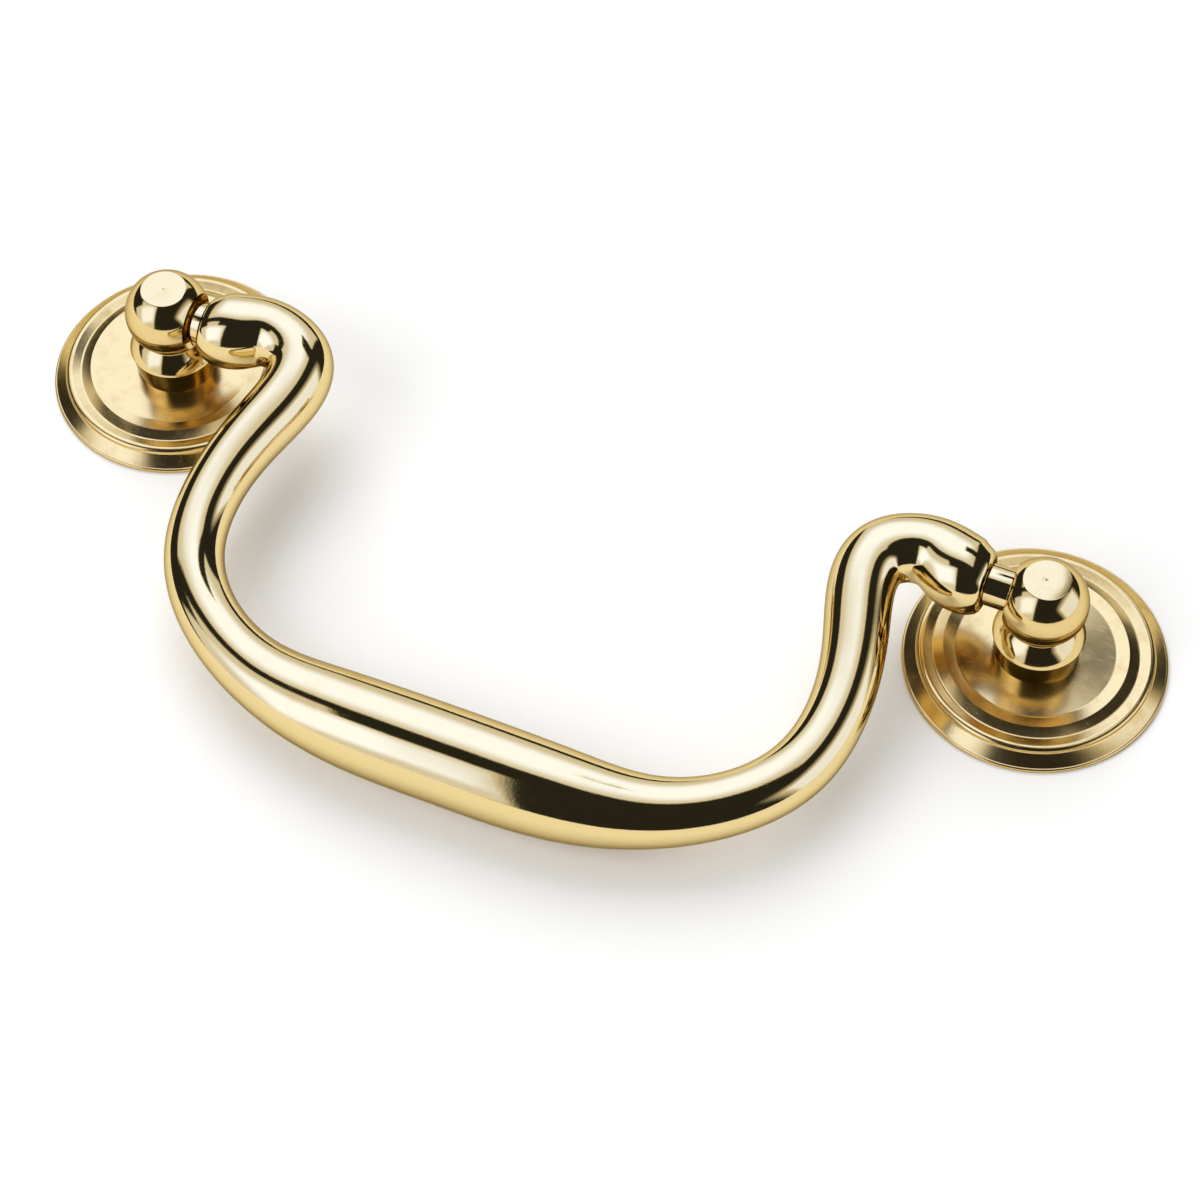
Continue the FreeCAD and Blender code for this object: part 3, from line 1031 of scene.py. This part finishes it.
# Windows of the tent on its chart, with their light. The left one leaves a thin dark line between the
# back and the front one, and the gap is a dark space between two lamps at the back.
WINDOWS = {
    "back": {"Centre": (-0.20, 0.42, 0), "Half size": (0.48, 0.48, 0), "Softness": 0.05, "light": 0.78},
    "back core": {"Centre": (-0.2, 0.36, 0), "Half size": (0.43, 0.42, 0), "Softness": 0.3, "light": 0.24},
    "front": {"Centre": (-0.485, -0.64, 0), "Half size": (0.395, 0.37, 0), "Softness": 0.05, "light": 0.8},
    "front core": {"Centre": (-0.4, -0.57, 0), "Half size": (0.31, 0.30, 0), "Softness": 0.18, "light": 0.24},
    "left": {"Centre": (-0.46, -0.235, 0), "Half size": (0.19, 0.085, 0), "Softness": 0.05, "light": 0.78},
    "right": {"Centre": (0.98, 0.025, 0), "Half size": (0.53, 0.525, 0), "Softness": 0.2, "light": 0.9},
    "gap": {"Centre": (0.135, 0.395, 0), "Half size": (0.18, 0.1, 0), "Softness": 0.05, "light": -1.0},
}


def tent_material(settings):
    """Dark cloth with soft windows, whose light is neutral at their edges and cool in their middles."""
    material = bpy.data.materials.new("tent_cloth")
    material.use_nodes = True
    tree = material.node_tree
    tree.nodes.clear()
    chart = chart_position(tree)
    light = 0.0
    for window in WINDOWS.values():
        sockets = {name: value for name, value in window.items() if name != "light"}
        shape = effect(tree, soft_window_group, "Soft window", {"Chart": chart, **sockets})
        light = math_node(tree, "MULTIPLY_ADD", shape, window["light"], light)
    light = math_node(tree, "MAXIMUM", light, settings.tent_cloth)
    tint = blend(tree, fade(tree, light, *COOL_LEVELS), WHITE, opaque(settings.window_light))
    glow = add(tree, "ShaderNodeEmission", {"Color": tint, "Strength": light})
    add(tree, "ShaderNodeOutputMaterial", {"Surface": glow.outputs[0]})
    return material


def make_tent(settings):
    """The tent round the studio. Only the brass sees it."""
    deselect()
    bpy.ops.mesh.primitive_uv_sphere_add(
        segments=TENT_SEGMENTS, ring_count=TENT_RINGS, radius=settings.tent_radius
    )
    tent = bpy.context.object
    tent.name = "studio_tent"
    tent.data.materials.append(tent_material(settings))
    tent.visible_camera = False
    tent.visible_diffuse = False
    tent.visible_transmission = False
    tent.visible_volume_scatter = False
    tent.visible_shadow = False


def make_floor(settings):
    """The pale floor that the pull lies on."""
    deselect()
    bpy.ops.mesh.primitive_circle_add(
        vertices=FLOOR_VERTICES, radius=settings.floor_radius, fill_type="NGON", location=(0, 0, -FLOOR_DROP)
    )
    floor = bpy.context.object
    floor.name = "studio_floor"
    material = bpy.data.materials.new("pale_floor")
    material.use_nodes = True
    shader = material.node_tree.nodes["Principled BSDF"]
    shader.inputs["Base Color"].default_value = opaque(settings.floor_colour)
    shader.inputs["Roughness"].default_value = FLOOR_ROUGHNESS
    shader.inputs["Specular IOR Level"].default_value = 0
    floor.data.materials.append(material)


def make_lamp(name, direction, size, power):
    """A soft square lamp that shines on the middle of the pull. Mirrors don't show it."""
    deselect()
    place = Vector(direction).normalized() * LAMP_DISTANCE
    rotation = place.to_track_quat("Z", "Y").to_euler()
    bpy.ops.object.light_add(type="AREA", location=place, rotation=rotation)
    lamp = bpy.context.object
    lamp.name = name
    lamp.data.size = size
    lamp.data.energy = power
    lamp.visible_camera = False
    lamp.visible_glossy = False


def make_world(settings):
    """White all round for the camera and for mirrors, and even ambient light for the rest."""
    world = bpy.data.worlds.new("studio_world")
    bpy.context.scene.world = world
    world.use_nodes = True
    tree = world.node_tree
    path = add(tree, "ShaderNodeLightPath").outputs
    seen = math_node(tree, "MAXIMUM", path["Is Camera Ray"], path["Is Glossy Ray"])
    seen = math_node(tree, "MAXIMUM", seen, path["Is Transmission Ray"])
    strength = add(tree, "ShaderNodeMapRange", {"Value": seen, "To Min": settings.ambient, "To Max": 1.0})
    background = tree.nodes["Background"]
    background.inputs["Color"].default_value = WHITE
    tree.links.new(strength.outputs[0], background.inputs["Strength"])


def make_camera(settings):
    """The camera at the photograph's viewing angle."""
    deselect()
    place = Vector(settings.camera_place)
    sight = Vector(settings.camera_aim) - place
    rotation = sight.to_track_quat("-Z", "Y") @ Quaternion(UP, settings.camera_roll)
    bpy.ops.object.camera_add(location=place, rotation=rotation.to_euler())
    camera = bpy.context.object
    camera.name = "photo_camera"
    camera.data.sensor_width = PHOTO_SENSOR
    camera.data.lens = settings.lens
    camera.data.clip_start = CLIP_START
    bpy.context.scene.camera = camera


class BAILPULL_OT_studio(bpy.types.Operator):
    """Set up the floor, lights and camera"""

    bl_idname = "bail_pull.studio"
    bl_label = "Studio"

    def execute(self, context):
        settings = context.scene.bail_pull.studio
        make_floor(settings)
        make_tent(settings)
        make_lamp("key_lamp", KEY_DIRECTION, KEY_SIZE, settings.key_power)
        make_lamp("fill_lamp", FILL_DIRECTION, FILL_SIZE, settings.fill_power)
        make_world(settings)
        make_camera(settings)
        context.scene.view_settings.view_transform = "Standard"
        return {"FINISHED"}


class BAILPULL_PT_sidebar(bpy.types.Panel):
    """Lists the steps that build the pull, with their sizes"""

    bl_idname = "BAILPULL_PT_sidebar"
    bl_label = "Bail pull"
    bl_space_type = "VIEW_3D"
    bl_region_type = "UI"
    bl_category = "Bail pull"

    def draw(self, context):
        settings = context.scene.bail_pull
        steps = {
            BAILPULL_OT_bail: settings.bail,
            BAILPULL_OT_posts: settings.post,
            BAILPULL_OT_roses: settings.rose,
            BAILPULL_OT_studio: settings.studio,
        }
        for step, group in steps.items():
            self.layout.operator(step.bl_idname)
            self.list_properties(group)
        self.list_properties(settings.finish)

    def list_properties(self, group):
        """Lists a group's properties in a column."""
        column = self.layout.column()
        for name in group.__annotations__:
            column.prop(group, name)


CLASSES = (
    BailSizes,
    PostSizes,
    RoseSizes,
    BrassFinish,
    StudioSettings,
    BailPullSettings,
    BAILPULL_OT_bail,
    BAILPULL_OT_posts,
    BAILPULL_OT_roses,
    BAILPULL_OT_studio,
    BAILPULL_PT_sidebar,
)


def register():
    for made in CLASSES:
        bpy.utils.register_class(made)
    bpy.types.Scene.bail_pull = bpy.props.PointerProperty(type=BailPullSettings)


def unregister():
    del bpy.types.Scene.bail_pull
    for made in reversed(CLASSES):
        bpy.utils.unregister_class(made)


def main():
    register()
    bpy.ops.bail_pull.bail()
    bpy.ops.bail_pull.posts()
    bpy.ops.bail_pull.roses()
    bpy.ops.bail_pull.studio()


if __name__ == "__main__":
    main()
